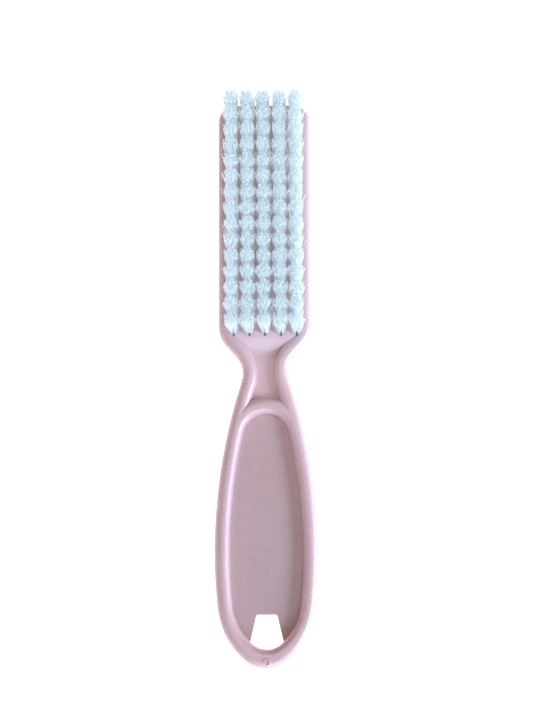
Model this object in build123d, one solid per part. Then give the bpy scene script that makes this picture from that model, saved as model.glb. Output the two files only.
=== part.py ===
from build123d import *
import math
import os

# Nail scrubbing brush lying on its back, in millimetres.
# X runs across the brush, +Y from the handle's tail to the bristle head, +Z the way the bristles point.
# The origin is the middle of the rectangle it stands on.

# Overall size
LENGTH = 180.0
BODY_HEIGHT = 9.0
BRISTLE_LENGTH = 24.0

# Outline of the moulded body
HEAD_HALF = 14.8
HEAD_CORNER = 5.6
SHOULDER_START_Y = 17.0
SHOULDER_RADIUS = 7.8
SHOULDER_TURN = 42.0
NECK_HALF = 7.2
NECK_RADIUS = 8.4
NECK_TURN = 18.0
HANDLE_HALF = 16.2
TAIL_SIDE_RADIUS = 160.0
TAIL_SIDE_TURN = 6.0
TAIL_END_TURN = 50.0

# Rounded rim round the handle, and the recesses on both faces that leave a web between them
RIM_WIDTH = 4.7
TAIL_RIM_WIDTH = 5.9
RIM_OUTER_ROUND = 2.3
RIM_INNER_ROUND = 2.2
RECESS_TOP_Y = -10.5
RECESS_DEPTH = 3.5
BACK_RECESS_DEPTH = 3.0
BACK_ROUND = 1.2
ARCH_WIDTH = 5.0

# Channel between the rails of the neck, with a ramp up to the face of the head
CHANNEL_DEPTH = 2.7
CHANNEL_EDGE_MARGIN = 0.1
CHANNEL_END_Y = -18.0
RAMP_FOOT_Y = 7.0
RAMP_TOP_Y = 15.5
RAMP_TOP_SLOPE = 0.1

# Hanging hole through the web at the tail
HOLE_TOP_Y = -73.4
HOLE_TOP_HALF = 3.2
HOLE_SIDE_SLOPE = 0.24
HOLE_CORNER_RADIUS = 0.6

# Round moulding mark on the rim at the tail: a low ring round a shallow dimple
MARK_DIAMETER = 2.4
MARK_RING_WIDTH = 0.45
MARK_RING_HEIGHT = 0.2
MARK_DEPTH = 0.15
MARK_REACH = 1.5
MARK_Y = -88.0

# Tufts, the holes they stand in and the wire anchors that hold them
COLUMNS = 5
ROWS = 15
PITCH = 5.0
FIRST_ROW_Y = 15.8
TUFT_HOLE_DIAMETER = 2.4
TUFT_HOLE_DEPTH = 6.5
TUFT_DIAMETER = 2.3
TUFT_WAIST_HEIGHT = 1.0
TIP_DIAMETER = 4.6
TIP_ROUND = 0.6
ANCHOR_THICKNESS = 0.4
ANCHOR_LENGTH = 2.8
ANCHOR_HEIGHT = 1.6
ANCHOR_RISE = 1.2
ANCHOR_CLEARANCE = 0.05

# Where an anchor is driven in, the plastic splays at both ends of its slot
SPLAY_START = 1.0
SPLAY_END = 1.8
SPLAY_END_HALF = 0.45
SPLAY_DEPTH = 1.2

TOP = BODY_HEIGHT
TAIL_Y = -LENGTH / 2


def chain(start, heading, *arcs):
    # Arcs joined end to end without a corner: each is a radius and a turn, clockwise if negative.
    pieces = []
    for radius, turn in arcs:
        pieces.append(JernArc(start, heading, radius, turn))
        start = pieces[-1] @ 1
        heading = pieces[-1] % 1
    return pieces


def tail_arcs(half_width, length, first_radius):
    # From the widest point round to the tip in three arcs. The first radius and the angles where
    # the arcs meet are given, so the other two radii follow from the width and the length.
    turn_1 = math.radians(TAIL_SIDE_TURN)
    turn_2 = math.radians(TAIL_END_TURN)
    across = half_width - first_radius * (1 - math.cos(turn_1))
    along = length - first_radius * math.sin(turn_1)
    middle_across = math.cos(turn_1) - math.cos(turn_2)
    middle_along = math.sin(turn_2) - math.sin(turn_1)
    end_across = math.cos(turn_2)
    end_along = 1 - math.sin(turn_2)
    scale = middle_across * end_along - middle_along * end_across
    middle_radius = (across * end_along - along * end_across) / scale
    end_radius = (middle_across * along - middle_along * across) / scale
    return (
        (first_radius, -TAIL_SIDE_TURN),
        (middle_radius, TAIL_SIDE_TURN - TAIL_END_TURN),
        (end_radius, TAIL_END_TURN - 90),
    )


def slant_across():
    # Distance across that is left for the straight slant between the shoulder and the neck.
    turn = math.radians(SHOULDER_TURN)
    return HEAD_HALF - NECK_HALF - (SHOULDER_RADIUS + NECK_RADIUS) * (1 - math.cos(turn))


def side_arc_radius():
    neck = math.radians(NECK_TURN)
    across = HANDLE_HALF - NECK_HALF - NECK_RADIUS * (1 - math.cos(neck))
    return across / (1 - math.cos(neck))


def both_halves(pieces):
    half = Curve() + pieces
    return make_face(half + mirror(half, about=Plane.YZ))


def widest_y():
    # Height of the handle's widest point, reached from the shoulder down through the neck.
    shoulder = math.radians(SHOULDER_TURN)
    neck = math.radians(NECK_TURN)
    arcs_along = (SHOULDER_RADIUS + NECK_RADIUS) * math.sin(shoulder)
    slant_along = slant_across() / math.tan(shoulder)
    side_along = (NECK_RADIUS + side_arc_radius()) * math.sin(neck)
    return SHOULDER_START_Y - arcs_along - slant_along - side_along


def body_outline():
    # Right half from the top of the head down to the tip of the tail.
    top = Line((0, LENGTH / 2), (HEAD_HALF - HEAD_CORNER, LENGTH / 2))
    corner = JernArc(top @ 1, (1, 0), HEAD_CORNER, -90)
    side = Line(corner @ 1, (HEAD_HALF, SHOULDER_START_Y))
    shoulder = JernArc(side @ 1, (0, -1), SHOULDER_RADIUS, -SHOULDER_TURN)
    slant_length = slant_across() / math.sin(math.radians(SHOULDER_TURN))
    slant = Line(shoulder @ 1, shoulder @ 1 + (shoulder % 1) * slant_length)
    neck_and_side = chain(
        slant @ 1,
        slant % 1,
        (NECK_RADIUS, SHOULDER_TURN + NECK_TURN),
        (side_arc_radius(), -NECK_TURN),
    )
    tail = tail_arcs(HANDLE_HALF, widest_y() - TAIL_Y, TAIL_SIDE_RADIUS)
    tail = chain(neck_and_side[-1] @ 1, (0, -1), *tail)
    return both_halves([top, corner, side, shoulder, slant, *neck_and_side, *tail])


def arch_radius():
    # The arch at the top of the recess runs smoothly into its sides, which keep their distance
    # from the outline: one circle inside another, touching it.
    side_radius = side_arc_radius() - RIM_WIDTH
    centre_x = HANDLE_HALF - side_arc_radius()
    reach = RECESS_TOP_Y - widest_y()
    return (side_radius**2 - centre_x**2 - reach**2) / (2 * (side_radius - reach))


def recess_outline():
    # Right half from the top of the arch down to the inner edge of the rim at the tail.
    side_radius = side_arc_radius() - RIM_WIDTH
    rise = RECESS_TOP_Y - arch_radius() - widest_y()
    side_turn = math.degrees(math.asin(rise / (side_radius - arch_radius())))
    length = widest_y() - TAIL_Y - TAIL_RIM_WIDTH
    half = chain(
        (0, RECESS_TOP_Y),
        (1, 0),
        (arch_radius(), side_turn - 90),
        (side_radius, -side_turn),
        *tail_arcs(HANDLE_HALF - RIM_WIDTH, length, TAIL_SIDE_RADIUS - RIM_WIDTH),
    )
    return both_halves(half)


def prism(face, low, high):
    return Pos(0, 0, low) * extrude(face, amount=high - low)


def edges_at(solid, height):
    return solid.edges().filter_by_position(Axis.Z, height - 0.001, height + 0.001)


def hole_edges(solid, top):
    # Edges of the opening in the highest or the lowest flat face.
    face = solid.faces().filter_by(Axis.Z).sort_by(Axis.Z)[-1 if top else 0]
    return face.inner_wires()[0].edges()


def handle_blank():
    # Rounded plate of the whole outline with the handle's recess on both faces.
    recess = recess_outline()
    plate = prism(body_outline(), 0, TOP)
    plate = fillet(edges_at(plate, 0) + edges_at(plate, TOP), radius=RIM_OUTER_ROUND)
    plate -= prism(recess, TOP - RECESS_DEPTH, TOP)
    plate -= prism(recess, 0, BACK_RECESS_DEPTH)
    plate = fillet(hole_edges(plate, True), radius=RIM_INNER_ROUND)
    return fillet(hole_edges(plate, False), radius=BACK_ROUND)


def neck_channel():
    # The hollow between the neck's two rounded rails, down to the arch over the recess.
    outline = body_outline()
    floor = TOP - CHANNEL_DEPTH
    profile = [
        Line((CHANNEL_END_Y, floor), (RAMP_FOOT_Y, floor)),
        Spline((RAMP_FOOT_Y, floor), (RAMP_TOP_Y, TOP), tangents=[(1, 0), (1, RAMP_TOP_SLOPE)]),
        Line((RAMP_TOP_Y, TOP), (CHANNEL_END_Y, TOP)),
        Line((CHANNEL_END_Y, TOP), (CHANNEL_END_Y, floor)),
    ]
    wedge = extrude(Plane.YZ * make_face(profile), amount=HANDLE_HALF, both=True)
    margin = RIM_OUTER_ROUND + CHANNEL_EDGE_MARGIN
    hollow = wedge & prism(offset(outline, amount=-margin), 0, TOP)
    rails = prism(outline - offset(outline, amount=-RIM_WIDTH), 0, TOP)
    rails = fillet(hole_edges(rails, True), radius=RIM_INNER_ROUND)
    arch_centre = Pos(0, RECESS_TOP_Y - arch_radius())
    arch = prism(arch_centre * Circle(arch_radius() + ARCH_WIDTH), 0, TOP)
    arch = fillet(edges_at(arch, TOP), radius=RIM_OUTER_ROUND)
    return hollow - rails - arch


def hanging_hole():
    # The sides splay towards the tail, where the hole ends flush with the rim.
    low_half = HOLE_TOP_HALF + HOLE_SIDE_SLOPE * (HOLE_TOP_Y - TAIL_Y)
    corners = [
        (-HOLE_TOP_HALF, HOLE_TOP_Y),
        (HOLE_TOP_HALF, HOLE_TOP_Y),
        (low_half, TAIL_Y),
        (-low_half, TAIL_Y),
    ]
    wedge = make_face(Polyline(*corners, close=True))
    wedge = fillet(wedge.vertices().sort_by(Axis.Y)[-2:], radius=HOLE_CORNER_RADIUS)
    return prism(wedge & recess_outline(), BACK_RECESS_DEPTH, TOP - RECESS_DEPTH)


def row_places(row):
    first_x = -PITCH * (COLUMNS - 1) / 2
    y = FIRST_ROW_Y + row * PITCH
    return [(first_x + column * PITCH, y) for column in range(COLUMNS)]


def anchor_box(clearance, low, high):
    return prism(
        Rectangle(ANCHOR_THICKNESS + 2 * clearance, ANCHOR_LENGTH + 2 * clearance),
        low,
        high,
    )


def slot_splay():
    # Seen from above, one end of the slot widens from the hole's edge outwards.
    slot_half = ANCHOR_THICKNESS / 2 + ANCHOR_CLEARANCE
    right = [(slot_half, SPLAY_START), (SPLAY_END_HALF, SPLAY_END)]
    left = [(-x, y) for x, y in reversed(right)]
    end = prism(make_face(Polyline(*right, *left, close=True)), TOP - SPLAY_DEPTH, TOP)
    return end + mirror(end, about=Plane.XZ)


def tuft_hole():
    # The wire anchor is driven in from the face and leaves its slot in the wall of the hole.
    hole_floor = TOP - TUFT_HOLE_DEPTH
    hole = prism(Circle(TUFT_HOLE_DIAMETER / 2), hole_floor, TOP)
    hole += anchor_box(ANCHOR_CLEARANCE, hole_floor + ANCHOR_RISE, TOP)
    return hole + slot_splay()


def with_moulding_mark(body):
    # The ring and the dimple follow the rounded rim: they are the rim's own surface, raised and lowered.
    inside = Circle(MARK_DIAMETER / 2 - MARK_RING_WIDTH)
    ring = Circle(MARK_DIAMETER / 2) - inside
    above = Pos(0, MARK_Y) * prism(ring, TOP - MARK_REACH, TOP + MARK_RING_HEIGHT)
    below = Pos(0, MARK_Y) * prism(inside, TOP - MARK_REACH, TOP)
    raised = above & Pos(0, 0, MARK_RING_HEIGHT) * body
    dimple = below - Pos(0, 0, -MARK_DEPTH) * body
    return body + raised - dimple


def make_body():
    body = with_moulding_mark(handle_blank()) - neck_channel() - hanging_hole()
    places = [place for row in range(ROWS) for place in row_places(row)]
    hole = tuft_hole()
    return body - [Pos(x, y) * hole for x, y in places]


def make_tuft():
    # Straight in its hole, then opening out evenly to the brush end. The tuft is folded round
    # its anchor, so the anchor's place is left free through its lower end.
    foot = TOP - TUFT_HOLE_DEPTH
    waist = TOP + TUFT_WAIST_HEIGHT
    tip = TOP + BRISTLE_LENGTH
    stem = prism(Circle(TUFT_DIAMETER / 2), foot, waist)
    flare = Cone(TUFT_DIAMETER / 2, TIP_DIAMETER / 2, tip - waist)
    flare = Pos(0, 0, (waist + tip) / 2) * flare
    tuft = fillet(edges_at(stem + flare, tip), radius=TIP_ROUND)
    low = foot + ANCHOR_RISE
    return tuft - anchor_box(0, low, low + ANCHOR_HEIGHT)


def make_anchor():
    low = TOP - TUFT_HOLE_DEPTH + ANCHOR_RISE
    return anchor_box(0, low, low + ANCHOR_HEIGHT)


def write_node(name, solids):
    export_step(Compound(label=name, children=solids), f"parts/{name}.step")


def main():
    os.makedirs("parts", exist_ok=True)
    write_node("body", make_body().solids())
    tuft = make_tuft()
    anchor = make_anchor()
    for row in range(ROWS):
        number = f"{row + 1:02d}"
        places = row_places(row)
        write_node(f"tufts_row_{number}", [(Pos(x, y) * tuft).solid() for x, y in places])
        write_node(f"anchors_row_{number}", [(Pos(x, y) * anchor).solid() for x, y in places])


main()
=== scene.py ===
import math

import bpy
import numpy as np
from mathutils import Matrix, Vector


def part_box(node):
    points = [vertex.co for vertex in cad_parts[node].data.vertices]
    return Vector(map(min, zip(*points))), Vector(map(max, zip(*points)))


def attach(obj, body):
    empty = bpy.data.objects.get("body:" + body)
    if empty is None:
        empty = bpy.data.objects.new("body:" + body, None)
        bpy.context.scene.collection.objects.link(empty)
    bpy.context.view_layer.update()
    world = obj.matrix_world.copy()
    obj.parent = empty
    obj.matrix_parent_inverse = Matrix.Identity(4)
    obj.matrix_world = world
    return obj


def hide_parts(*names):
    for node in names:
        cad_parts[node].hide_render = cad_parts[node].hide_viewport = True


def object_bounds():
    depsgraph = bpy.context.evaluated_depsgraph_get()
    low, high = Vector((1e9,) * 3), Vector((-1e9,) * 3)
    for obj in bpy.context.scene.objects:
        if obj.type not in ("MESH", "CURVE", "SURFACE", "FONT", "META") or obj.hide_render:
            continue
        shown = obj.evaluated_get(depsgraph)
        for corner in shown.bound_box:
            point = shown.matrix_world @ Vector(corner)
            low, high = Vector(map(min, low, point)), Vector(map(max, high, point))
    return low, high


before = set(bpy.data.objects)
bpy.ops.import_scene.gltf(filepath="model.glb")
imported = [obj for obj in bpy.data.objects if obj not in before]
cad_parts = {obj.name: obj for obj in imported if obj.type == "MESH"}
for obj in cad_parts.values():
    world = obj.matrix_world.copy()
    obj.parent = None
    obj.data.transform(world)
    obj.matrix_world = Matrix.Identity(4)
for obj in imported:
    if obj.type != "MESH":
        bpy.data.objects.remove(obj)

# A nail brush on a pale floor in daylight: a pink plastic body, and crimped nylon filaments folded under
# wire anchors.

cad_low, cad_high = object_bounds()

MM = 0.001
TUFT_ROWS = sorted(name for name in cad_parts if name.startswith("tufts_row_"))
ANCHOR_ROWS = sorted(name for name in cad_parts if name.startswith("anchors_row_"))
COLUMNS = 5

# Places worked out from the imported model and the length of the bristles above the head
BRISTLE_LENGTH = 24 * MM
body_low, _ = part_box("body")
tip_z = cad_high.z
face_z = tip_z - BRISTLE_LENGTH
first_low, first_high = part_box(TUFT_ROWS[0])
tuft_width = first_high.y - first_low.y
pitch = (first_high.x - first_low.x - tuft_width) / (COLUMNS - 1)
first_x = first_low.x + tuft_width / 2
anchor_low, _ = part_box(ANCHOR_ROWS[0])

# Daylight from a window and the warmer light of the room
COOL = (0.62, 0.80, 1.0)
WARM = (1.0, 0.84, 0.76)
LAMP_DISTANCE = 1.25

# Backdrop from the floor up to a height given as the sine of its elevation, then the dim room above it
BACKDROP = (0.74, 0.80, 0.88)
BACKDROP_TOP = 0.2
BACKDROP_BLEND = 0.1
ROOM_STRENGTH = 0.07

# Floor just under the brush
FLOOR_HALF = 4.0
FLOOR_GAP = 0.2 * MM
FLOOR_COLOUR = (0.9, 0.9, 0.9, 1)
FLOOR_GLOW = 0.85

# Camera straight above the lower handle, tilted towards the head
CAMERA_PLACE = (10.2 * MM, -75.2 * MM, 559 * MM)
CAMERA_TURN = (math.radians(8.57), math.radians(1.01), math.radians(-0.45))
LENS = 89.1
SENSOR_WIDTH = 36.0

# Light passes many times between the pale filaments before it comes out
BOUNCES = 32

# Pink plastic, and painted shade that makes the floor of the handle's recess a little darker and greyer
PINK_DARK = (0.765, 0.49, 0.505)
PINK_LIGHT = (0.805, 0.52, 0.535)
RECESS_SHADE = (0.78, 0.80, 0.79)
RECESS_DEPTH = 3.5 * MM
PANEL_MARGIN = 0.5 * MM
PANEL_FACING = 0.9

# Nylon: painted shade makes the shaft darker than the tip, with a change between two shares of its height. A
# faint glow stands in for the light that clear filaments carry down between the tufts.
NYLON_DARK = (0.82, 0.93, 0.97)
NYLON_LIGHT = (0.90, 0.97, 0.99)
SHAFT_SHADE = (0.79, 0.81, 0.815)
SHAFT_TOP = 0.55
TIP_START = 0.88
GLOW_COLOUR = (0.93, 0.97, 1.0)
GLOW_STRENGTH = 0.15

# Anchor wire
WIRE_DARK = (0.20, 0.18, 0.20)
WIRE_LIGHT = (0.38, 0.36, 0.39)

# Shape of a filament, and a level direction that none runs along, to turn its cross-section by
FILAMENT_RADIUS = 0.1 * MM
FILAMENT_SIDES = 3
SIDEWAYS = np.array([0.35, 0.94, 0.0])
CRIMP_STEP = 0.6 * MM
CRIMP_LENGTH = 3.1 * MM
CRIMP_LENGTH_RANGE = (0.85, 1.15)
CRIMP_DEPTH = 0.28 * MM
CRIMP_DEPTH_RANGE = (0.7, 1.25)
CRIMP_START = 3 * MM

# A tuft's roots, spread evenly over its hole
FOLDED_PER_TUFT = 56
ROOT_RADIUS = 1.08 * MM
ROOT_SCATTER = 0.04 * MM
GOLDEN_ANGLE = math.pi * (3 - math.sqrt(5))

# Its way round the anchor: how far each half stands from the middle at the face, the nearest it comes to
# the middle beside the anchor, how high above the anchor's foot that is, and the fold's depth below the foot
ANCHOR_GAP = 0.28 * MM
ANCHOR_SIDE = 0.35 * MM
ANCHOR_RISE = 0.5 * MM
FOLD_DROP = (0.2 * MM, 0.9 * MM)

# Its tips, which reach almost halfway to the next tuft, with a few strays that reach past it
TIP_REACH = pitch * np.array([0.465, 0.495])
TIP_REACH_RANGE = (0.86, 1.02)
TIP_SCATTER = 0.28 * MM
STRAY_SHARE = 0.03
STRAY_REACH_RANGE = (1.15, 1.4)
LENGTH_SCATTER = 0.3 * MM
EDGE_DROP = 0.5 * MM
OPENING_POWER = 1.15

# The one broken filament: from its hole to its end, and how far it arches above that line
STUB_REACH = np.array([-2.7, 0.9, 2.0]) * MM
STUB_RISE = 1.2 * MM
STUB_BELOW_FACE = 0.1 * MM

# Each row of tufts draws from its own seed, counted up from this one
FIRST_SEED = 11


# ---------------------------------------------------------------- materials

class Nodes:
    """A material's node tree with short calls for adding and joining nodes."""

    def __init__(self, name):
        self.material = bpy.data.materials.new(name)
        self.material.use_nodes = True
        self.tree = self.material.node_tree
        self.shader = self.tree.nodes["Principled BSDF"]
        places = self.tree.nodes.new("ShaderNodeTexCoord").outputs
        self.coords = places["Object"]
        self.normal = places["Normal"]

    def add(self, kind, links=(), **settings):
        node = self.tree.nodes.new(kind)
        for key, value in settings.items():
            setattr(node, key, value)
        for socket, source in dict(links).items():
            if isinstance(source, (int, float, tuple)):
                node.inputs[socket].default_value = source
            else:
                self.tree.links.new(source, node.inputs[socket])
        return node

    def noise(self, size, detail=3.0, rough=0.5):
        links = {"Vector": self.coords, "Scale": 1 / size, "Detail": detail, "Roughness": rough}
        return self.add("ShaderNodeTexNoise", links).outputs["Fac"]

    def ramp(self, source, *stops):
        node = self.add("ShaderNodeValToRGB", {"Fac": source})
        node.color_ramp.elements[0].position = stops[0][0]
        node.color_ramp.elements[1].position = stops[-1][0]
        for position, _ in stops[1:-1]:
            node.color_ramp.elements.new(position)
        for element, (_, colour) in zip(node.color_ramp.elements, stops):
            element.color = (*colour, 1)
        return node.outputs["Color"]

    def height_of(self, vector):
        return self.add("ShaderNodeSeparateXYZ", {"Vector": vector}).outputs["Z"]

    def math(self, operation, a, b):
        return self.add("ShaderNodeMath", {0: a, 1: b}, operation=operation).outputs["Value"]

    def mix(self, factor, a, b, blend="MIX"):
        node = self.add("ShaderNodeMix", data_type="RGBA", blend_type=blend)
        for index, value in ((0, factor), (6, a), (7, b)):
            if isinstance(value, (int, float)):
                node.inputs[index].default_value = value
            elif isinstance(value, tuple):
                node.inputs[index].default_value = (*value, 1)
            else:
                self.tree.links.new(value, node.inputs[index])
        return node.outputs[2]

    def bump(self, height, strength, distance, normal=None):
        links = {"Height": height, "Strength": strength, "Distance": distance}
        if normal is not None:
            links["Normal"] = normal
        return self.add("ShaderNodeBump", links).outputs["Normal"]

    def set(self, **values):
        for name, value in values.items():
            socket = self.shader.inputs[name.replace("_", " ")]
            if isinstance(value, (int, float, tuple)):
                socket.default_value = value
            else:
                self.tree.links.new(value, socket)


def grey(value):
    return (value, value, value)


def recess_shade_mask(n):
    """Where shade is painted: white on the recess's floor, which faces up and lies below the channel of the
    neck.
    """
    level = n.math("LESS_THAN", n.height_of(n.coords), face_z - RECESS_DEPTH + PANEL_MARGIN)
    facing = n.math("GREATER_THAN", n.height_of(n.normal), PANEL_FACING)
    return n.math("MULTIPLY", level, facing)


def pink_plastic():
    n = Nodes("pink_plastic")
    cloud = n.ramp(n.noise(14 * MM, detail=4), (0.35, PINK_DARK), (0.65, PINK_LIGHT))
    speck = n.ramp(n.noise(0.45 * MM, detail=2), (0.36, grey(0.88)), (0.5, grey(1.0)), (0.66, grey(1.07)))
    colour = n.mix(1.0, cloud, speck, "MULTIPLY")
    # Painted shade: the recess floor's colour is darkened and greyed where the mask is white.
    shaded = n.mix(1.0, colour, RECESS_SHADE, "MULTIPLY")
    colour = n.mix(recess_shade_mask(n), colour, shaded)
    rough = n.ramp(n.noise(3 * MM, detail=5, rough=0.6), (0.3, grey(0.40)), (0.7, grey(0.48)))
    grain = n.bump(n.noise(0.35 * MM, detail=2), strength=0.2, distance=0.03 * MM)
    wave = n.bump(n.noise(9 * MM, detail=2), strength=0.12, distance=0.25 * MM, normal=grain)
    n.set(Base_Color=colour, Roughness=rough, Normal=wave, IOR=1.54, Specular_IOR_Level=1.3)
    n.set(Subsurface_Weight=0.3, Subsurface_Radius=(1.0, 0.5, 0.45), Subsurface_Scale=1.5 * MM)
    return n.material


def nylon():
    n = Nodes("nylon_bristle")
    island = n.add("ShaderNodeNewGeometry").outputs["Random Per Island"]
    tone = n.ramp(island, (0.0, NYLON_DARK), (1.0, NYLON_LIGHT))
    rise = n.math("DIVIDE", n.math("SUBTRACT", n.height_of(n.coords), face_z), BRISTLE_LENGTH)
    # Painted shade: the filaments are darker lower down the shaft, between the tufts.
    depth = n.ramp(rise, (SHAFT_TOP, SHAFT_SHADE), (TIP_START, grey(1.0)))
    n.set(Base_Color=n.mix(1.0, tone, depth, "MULTIPLY"), Roughness=0.28, IOR=1.53)
    n.set(Emission_Color=n.mix(1.0, depth, GLOW_COLOUR, "MULTIPLY"), Emission_Strength=GLOW_STRENGTH)
    return n.material


def anchor_wire():
    n = Nodes("anchor_wire")
    tone = n.ramp(n.noise(0.8 * MM, detail=4), (0.3, WIRE_DARK), (0.7, WIRE_LIGHT))
    rough = n.ramp(n.noise(0.5 * MM, detail=3), (0.3, grey(0.35)), (0.7, grey(0.6)))
    n.set(Base_Color=tone, Roughness=rough, Metallic=1.0)
    return n.material


def pale_floor():
    n = Nodes("pale_floor")
    n.set(Base_Color=FLOOR_COLOUR, Roughness=0.9)
    n.set(Emission_Color=(1, 1, 1, 1), Emission_Strength=FLOOR_GLOW)
    return n.material


# ---------------------------------------------------------------- filaments

def crimped(paths, rng):
    """Waves each filament from side to side, growing from nothing at its root."""
    count, steps, _ = paths.shape
    height = paths[:, :, 2] - face_z
    direction = rng.uniform(0, 2 * math.pi, (count, 1))
    length = CRIMP_LENGTH * rng.uniform(*CRIMP_LENGTH_RANGE, (count, 1))
    phase = rng.uniform(0, 2 * math.pi, (count, 1))
    depth = CRIMP_DEPTH * rng.uniform(*CRIMP_DEPTH_RANGE, (count, 1))
    grow = np.clip(height / CRIMP_START, 0, 1)
    wave = depth * grow * np.sin(2 * math.pi * height / length + phase)
    paths[:, :, 0] += wave * np.cos(direction)
    paths[:, :, 1] += wave * np.sin(direction)
    return paths


def tuft_roots(rng):
    """Places of a tuft's filaments in its hole, spread evenly, for its left and right halves."""
    order = np.arange(2 * FOLDED_PER_TUFT)
    radius = ROOT_RADIUS * np.sqrt((order + 0.5) / len(order))
    angle = order * GOLDEN_ANGLE + rng.uniform(0, 2 * math.pi)
    places = np.stack([radius * np.cos(angle), radius * np.sin(angle)], 1)
    places += rng.normal(0, ROOT_SCATTER, places.shape)
    places = places[np.argsort(places[:, 0])]
    left, right = places[:FOLDED_PER_TUFT], places[FOLDED_PER_TUFT:]
    return rng.permutation(left), rng.permutation(right)


def tuft_ends(centre, side, root, rng):
    """One half of a tuft: from beside the anchor up through the hole, opening out to the tips."""
    count = len(root)
    reach = np.linalg.norm(root, axis=1) / ROOT_RADIUS
    tip = root * TIP_REACH / ROOT_RADIUS * rng.uniform(*TIP_REACH_RANGE, (count, 1))
    tip += rng.normal(0, TIP_SCATTER, (count, 2))
    stray = rng.uniform(0, 1, count) < STRAY_SHARE
    tip[stray] *= rng.uniform(*STRAY_REACH_RANGE, (stray.sum(), 1))
    drop = np.abs(rng.normal(0, LENGTH_SCATTER, count)) + EDGE_DROP * reach ** 2
    length = BRISTLE_LENGTH - FILAMENT_RADIUS - drop
    # The anchor parts the tuft, so at the face its two halves stand a little apart.
    foot = root.copy()
    foot[:, 0] = side * (ANCHOR_GAP + np.abs(root[:, 0]) * (1 - ANCHOR_GAP / ROOT_RADIUS))
    steps = round(BRISTLE_LENGTH / CRIMP_STEP)
    up = np.linspace(0, 1, steps + 1)
    opening = 1 - (1 - up) ** OPENING_POWER
    across = foot[:, None] + (tip - foot)[:, None] * opening[None, :, None]
    height = face_z + length[:, None] * up[None, :]
    paths = crimped(np.concatenate([across, height[:, :, None]], 2), rng)
    low = np.concatenate([foot, np.full((count, 1), anchor_low.z + ANCHOR_RISE)], 1)
    low[:, 0] = side * np.maximum(np.abs(low[:, 0]), ANCHOR_SIDE)
    paths = np.concatenate([low[:, None], paths], 1)
    paths[:, :, :2] += centre
    return paths


def tuft_paths(centre, rng):
    """Whole filaments, each folded under the anchor from one tip to the other."""
    left_root, right_root = tuft_roots(rng)
    left = tuft_ends(centre, -1, left_root, rng)
    right = tuft_ends(centre, 1, right_root, rng)
    fold = (left[:, 0] + right[:, 0]) / 2
    fold[:, 2] = anchor_low.z - rng.uniform(*FOLD_DROP, len(fold))
    return np.concatenate([left[:, ::-1], fold[:, None], right], 1)


def bend_stub(path):
    """Breaks a filament's first end short and bends it out over the face from its hole."""
    above = np.flatnonzero(path[: len(path) // 2, 2] > face_z - STUB_BELOW_FACE)
    foot = path[above[-1]].copy()
    along = np.linspace(1, 0, len(above))[:, None]
    path[above] = foot + STUB_REACH * along + along * (1 - along) * np.array([0, 0, STUB_RISE])


def tubes(paths, radius):
    """Vertices and faces of closed tubes along the paths, all of one point count."""
    count, points, _ = paths.shape
    along = np.gradient(paths, axis=1)
    along /= np.linalg.norm(along, axis=2, keepdims=True)
    first = np.cross(along, SIDEWAYS)
    first /= np.linalg.norm(first, axis=2, keepdims=True)
    second = np.cross(along, first)
    turns = np.arange(FILAMENT_SIDES) * 2 * math.pi / FILAMENT_SIDES
    ring = (
        first[:, :, None] * np.cos(turns)[None, None, :, None]
        + second[:, :, None] * np.sin(turns)[None, None, :, None]
    )
    vertices = (paths[:, :, None] + radius * ring).reshape(-1, 3)
    base = np.arange(count)[:, None, None] * points * FILAMENT_SIDES
    step = np.arange(points - 1)[None, :, None] * FILAMENT_SIDES
    here = np.arange(FILAMENT_SIDES)[None, None, :]
    after = (here + 1) % FILAMENT_SIDES
    corner = base + step
    quads = np.stack(
        [corner + here, corner + after, corner + FILAMENT_SIDES + after, corner + FILAMENT_SIDES + here], 3
    ).reshape(-1, 4)
    start = base[:, 0] + np.arange(FILAMENT_SIDES)[::-1]
    end = base[:, 0] + (points - 1) * FILAMENT_SIDES + np.arange(FILAMENT_SIDES)
    return vertices, quads, np.concatenate([start, end])


def mesh_from(name, vertices, quads, caps):
    mesh = bpy.data.meshes.new(name)
    corners = np.concatenate([quads.ravel(), caps.ravel()]).astype(np.int32)
    totals = np.concatenate([np.full(len(quads), 4), np.full(len(caps), FILAMENT_SIDES)]).astype(np.int32)
    mesh.vertices.add(len(vertices))
    mesh.vertices.foreach_set("co", vertices.astype(np.float32).ravel())
    mesh.loops.add(len(corners))
    mesh.loops.foreach_set("vertex_index", corners)
    mesh.polygons.add(len(totals))
    starts = np.concatenate([[0], np.cumsum(totals)[:-1]]).astype(np.int32)
    mesh.polygons.foreach_set("loop_start", starts)
    smooth = np.concatenate([np.ones(len(quads), bool), np.zeros(len(caps), bool)])
    mesh.polygons.foreach_set("use_smooth", smooth)
    mesh.update(calc_edges=True)
    mesh.validate()
    return mesh


def bristle_row(node, material, seed):
    rng = np.random.default_rng(seed)
    low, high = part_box(node)
    y = (low.y + high.y) / 2
    centres = [(first_x + column * pitch, y) for column in range(COLUMNS)]
    paths = np.concatenate([tuft_paths(centre, rng) for centre in centres])
    if node == TUFT_ROWS[0]:
        # The broken filament is the one that passes its anchor farthest to the left.
        beside_anchor = paths[:, len(paths[0]) // 2 - 1, 0]
        bend_stub(paths[np.argmin(beside_anchor)])
    mesh = mesh_from(node.replace("tufts", "bristles"), *tubes(paths, FILAMENT_RADIUS))
    mesh.materials.append(material)
    piece = bpy.data.objects.new(mesh.name, mesh)
    bpy.context.scene.collection.objects.link(piece)
    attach(piece, "root")
    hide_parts(node)


# ---------------------------------------------------------------- scene

def paint(node, material):
    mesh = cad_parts[node].data
    mesh.materials.clear()
    mesh.materials.append(material)


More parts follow.
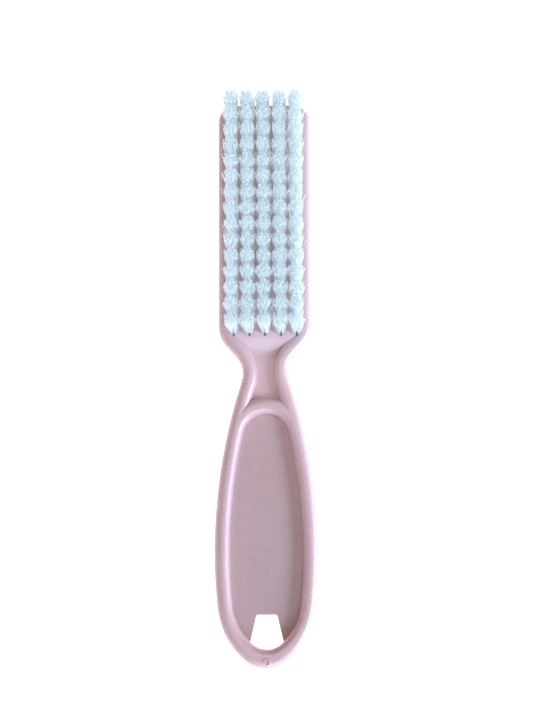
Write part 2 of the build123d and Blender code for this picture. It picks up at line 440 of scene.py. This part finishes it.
def make_floor():
    half = FLOOR_HALF
    mesh = bpy.data.meshes.new("floor")
    corners = [(-half, -half, 0), (half, -half, 0), (half, half, 0), (-half, half, 0)]
    mesh.from_pydata(corners, [], [(0, 1, 2, 3)])
    floor = bpy.data.objects.new("floor", mesh)
    floor.location.z = body_low.z - FLOOR_GAP
    bpy.context.scene.collection.objects.link(floor)
    mesh.materials.append(pale_floor())


def area_light(name, azimuth, elevation, size, power, colour):
    """Soft lamp aimed at the middle of the brush; azimuth 0 is +X, 90 is +Y."""
    lamp = bpy.data.lights.new(name, "AREA")
    lamp.shape = "DISK"
    lamp.size = size
    lamp.energy = power
    lamp.color = colour
    a, e = math.radians(azimuth), math.radians(elevation)
    direction = Vector((math.cos(a) * math.cos(e), math.sin(a) * math.cos(e), math.sin(e)))
    lamp_object = bpy.data.objects.new(name, lamp)
    lamp_object.location = LAMP_DISTANCE * direction
    lamp_object.rotation_mode = "QUATERNION"
    lamp_object.rotation_quaternion = direction.to_track_quat("Z", "Y")
    bpy.context.scene.collection.objects.link(lamp_object)


def make_lights():
    area_light("window", azimuth=-22, elevation=28, size=0.5, power=15.8, colour=COOL)
    area_light("window_low", azimuth=0, elevation=12, size=0.5, power=2.2, colour=COOL)
    area_light("tail_side", azimuth=-84, elevation=34, size=0.55, power=7.1, colour=COOL)
    area_light("ceiling", azimuth=90, elevation=76, size=0.35, power=1.8, colour=WARM)
    area_light("room", azimuth=180, elevation=40, size=0.5, power=1.6, colour=WARM)


def make_world():
    """A dim warm room overhead, and a pale backdrop all round from the floor up to BACKDROP_TOP."""
    world = bpy.data.worlds.new("studio")
    world.use_nodes = True
    tree = world.node_tree
    places = tree.nodes.new("ShaderNodeTexCoord")
    parts = tree.nodes.new("ShaderNodeSeparateXYZ")
    ramp = tree.nodes.new("ShaderNodeValToRGB")
    tree.links.new(places.outputs["Generated"], parts.inputs[0])
    tree.links.new(parts.outputs["Z"], ramp.inputs["Fac"])
    tree.links.new(ramp.outputs["Color"], tree.nodes["Background"].inputs["Color"])
    backdrop, room = ramp.color_ramp.elements
    backdrop.position = BACKDROP_TOP
    backdrop.color = (*BACKDROP, 1)
    room.position = BACKDROP_TOP + BACKDROP_BLEND
    room.color = (*(ROOM_STRENGTH * value for value in WARM), 1)
    bpy.context.scene.world = world


def make_camera():
    data = bpy.data.cameras.new("camera")
    data.lens = LENS
    data.sensor_width = SENSOR_WIDTH
    data.clip_start = 0.01
    camera = bpy.data.objects.new("camera", data)
    camera.location = CAMERA_PLACE
    camera.rotation_mode = "ZYX"
    camera.rotation_euler = CAMERA_TURN
    bpy.context.scene.collection.objects.link(camera)
    bpy.context.scene.camera = camera


paint("body", pink_plastic())
wire = anchor_wire()
for name in ANCHOR_ROWS:
    paint(name, wire)
bristle = nylon()
for index, name in enumerate(TUFT_ROWS):
    bristle_row(name, bristle, FIRST_SEED + index)
make_floor()
make_lights()
make_world()
make_camera()
bpy.context.scene.view_settings.view_transform = "Standard"
bpy.context.scene.cycles.max_bounces = BOUNCES
bpy.context.scene.cycles.diffuse_bounces = BOUNCES
